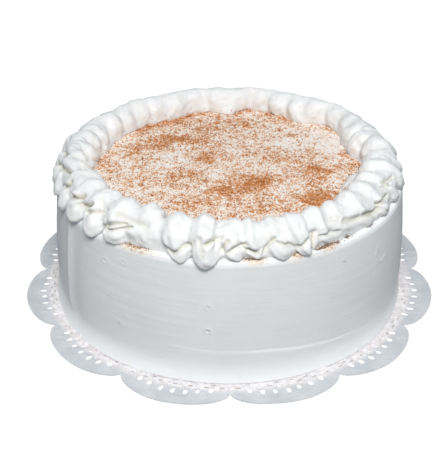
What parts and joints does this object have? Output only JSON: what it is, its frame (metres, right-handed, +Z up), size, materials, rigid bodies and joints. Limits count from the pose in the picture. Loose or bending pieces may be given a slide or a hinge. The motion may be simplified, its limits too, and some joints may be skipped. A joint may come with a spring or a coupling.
{
  "type": "tres leches cake",
  "caption": "Round soaked milk cake in a smooth whipped cream coat, with a piped loop border round a cinnamon-dusted top, on a scalloped paper lace doily.",
  "frame": {"origin": "centre of the doily's underside, on the surface that the cake stands on", "axes": "+Z up through the middle of the cake, -Y towards the front that the picture shows, +X to its right"},
  "size_m": [0.2984, 0.2984, 0.1082],
  "materials": {
    "cream_coat": "spatula-smoothed whipped cream, soft satin, slightly translucent",
    "piped_cream": "piped whipped cream, soft satin, slightly translucent",
    "paper_lace": "white embossed paper lace, matte",
    "cinnamon": "ground cinnamon dusted on cream, dull powder"
  },
  "bodies": {
    "root": {"cake_body": "cream_coat", "piped_border": "piped_cream", "paper_doily": "paper_lace"}
  },
  "joints": []
}
